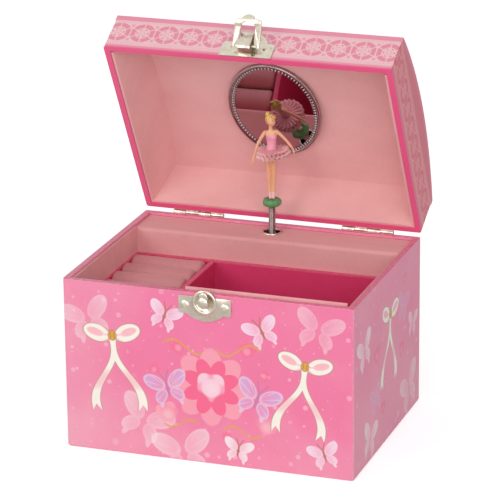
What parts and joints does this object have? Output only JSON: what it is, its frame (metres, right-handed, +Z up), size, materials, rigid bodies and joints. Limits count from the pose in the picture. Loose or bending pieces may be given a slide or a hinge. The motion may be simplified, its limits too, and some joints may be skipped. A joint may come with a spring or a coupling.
{
  "type": "wind-up musical jewellery box",
  "caption": "Card jewellery box with hinged barrel lid, mirror, lined tray with ring rolls, clasp, and a wind-up comb movement that turns a spring-mounted dancer.",
  "frame": {"origin": "centre of the underside of the case", "axes": "+X to the right, +Y to the back where the hinges and the winding key are, +Z up"},
  "size_m": [0.152, 0.1418, 0.2137],
  "materials": {
    "printed_front": "greyboard covered in printed satin paper, bright pink",
    "printed_side": "greyboard covered in printed satin paper",
    "lace_band": "greyboard covered in paper with a pale lace print",
    "dome_paper": "greyboard covered in plain pink paper",
    "base_board": "plain greyboard",
    "base_paper": "plain pink paper",
    "tray_card": "card covered in deep pink paper",
    "velour": "short-pile dusty pink velour on card",
    "roll_velour": "short-pile velour over foam",
    "plated_steel": "nickel-plated pressed steel",
    "spring_steel": "tempered steel",
    "brass": "turned brass",
    "cast_zinc": "die-cast zinc, gold lacquered",
    "nylon": "moulded nylon",
    "mirror": "silvered plastic mirror",
    "frame_plate": "silver-metallised moulded plastic",
    "green_base": "moulded green plastic",
    "figure_plastic": "moulded plastic, hand painted",
    "tutu": "soft moulded plastic skirt, pink"
  },
  "bodies": {
    "box": {"front_wall": "printed_front", "back_wall": "printed_side", "left_wall": "printed_side", "right_wall": "printed_side", "base_panel": "base_board", "base_sheet": "base_paper", "tray": "tray_card", "ring_bed": "tray_card", "ring_rolls": "roll_velour", "well_pad": "tray_card", "front_lining": "velour", "left_lining": "velour", "right_lining": "velour", "movement_cover": "velour", "grommet": "plated_steel", "hinge_leaves_box": "plated_steel", "hinge_pins": "spring_steel", "box_nails": "plated_steel", "catch_plate": "plated_steel", "catch_stud": "plated_steel", "bedplate": "cast_zinc", "bedplate_screws": "plated_steel", "spindle_tube": "brass", "comb": "spring_steel", "comb_screws": "plated_steel", "spring_housing": "brass", "mainspring": "spring_steel", "governor_bridge": "brass", "arbor_bushing": "plated_steel"},
    "lid": {"lid_front_wall": "lace_band", "lid_back_wall": "lace_band", "lid_left_wall": "lace_band", "lid_right_wall": "lace_band", "lid_dome": "dome_paper", "lid_lining_front": "velour", "lid_lining_back": "velour", "lid_lining_left": "velour", "lid_lining_right": "velour", "lid_ceiling": "velour", "mirror_glass": "mirror", "mirror_frame": "frame_plate", "hinge_leaves_lid": "plated_steel", "lid_nails": "plated_steel", "hasp_plate": "plated_steel"},
    "loop": {"hasp_loop": "plated_steel"},
    "great_wheel": {"great_wheel": "brass"},
    "key": {"winding_arbor": "spring_steel", "winding_key": "plated_steel"},
    "cylinder": {"cylinder_drum": "brass", "cylinder_arbor": "brass"},
    "idler": {"idler": "brass"},
    "governor": {"governor_worm": "nylon", "governor_fly": "nylon"},
    "spindle": {"spindle": "spring_steel"},
    "spring": {"figure_spring": "spring_steel"},
    "dancer": {"figure_base": "green_base", "figure_dancer": "figure_plastic", "figure_tutu": "tutu"}
  },
  "joints": [
    {"name": "lid_hinge", "type": "hinge", "parent": "box", "child": "lid", "pos_m": [0, 0.0598, 0.0902], "axis": [1, 0, 0], "range_deg": [0, 61.3]},
    {"name": "loop_swing", "type": "hinge", "parent": "lid", "child": "loop", "pos_m": [-0.0005, 0.00643, 0.19893], "axis": [1, 0, 0], "range_deg": [-31, 142]},
    {"name": "drive", "type": "hinge", "parent": "box", "child": "great_wheel", "pos_m": [-0.0015, 0.052, 0.04], "axis": [0, 1, 0], "continuous": true},
    {"name": "key_wind", "type": "hinge", "parent": "great_wheel", "child": "key", "pos_m": [-0.0015, 0.052, 0.04], "axis": [0, 1, 0], "range_deg": [0, 1620]},
    {"name": "cylinder_turn", "type": "hinge", "parent": "box", "child": "cylinder", "pos_m": [0.0225, 0.0473, 0.04], "axis": [1, 0, 0], "continuous": true},
    {"name": "idler_turn", "type": "hinge", "parent": "box", "child": "idler", "pos_m": [0.0365, 0.0473, 0.0471], "axis": [1, 0, 0], "continuous": true},
    {"name": "governor_spin", "type": "hinge", "parent": "box", "child": "governor", "pos_m": [0.0379, 0.046, 0.05315], "axis": [0, 1, 0], "continuous": true},
    {"name": "spindle_spin", "type": "hinge", "parent": "box", "child": "spindle", "pos_m": [-0.0015, 0.0473, 0.06], "axis": [0, 0, 1], "continuous": true},
    {"name": "figure_fold", "type": "hinge", "parent": "box", "child": "spring", "pos_m": [-0.0015, 0.0473, 0.095], "axis": [1, 0, 0], "range_deg": [0, 90], "deforming": ["figure_spring"]},
    {"name": "dancer_spin", "type": "hinge", "parent": "spring", "child": "dancer", "pos_m": [-0.0015, 0.0473, 0.11], "axis": [0, 0, 1], "continuous": true}
  ],
  "couplings": [
    {"joint": "cylinder_turn", "follows": "drive", "ratio": -3.75},
    {"joint": "idler_turn", "follows": "drive", "ratio": 9.375},
    {"joint": "governor_spin", "follows": "drive", "ratio": 150},
    {"joint": "spindle_spin", "follows": "drive", "ratio": -3.75},
    {"joint": "dancer_spin", "follows": "drive", "ratio": -3.75},
    {"joint": "figure_fold", "follows": "lid_hinge", "ratio": 1.468}
  ]
}
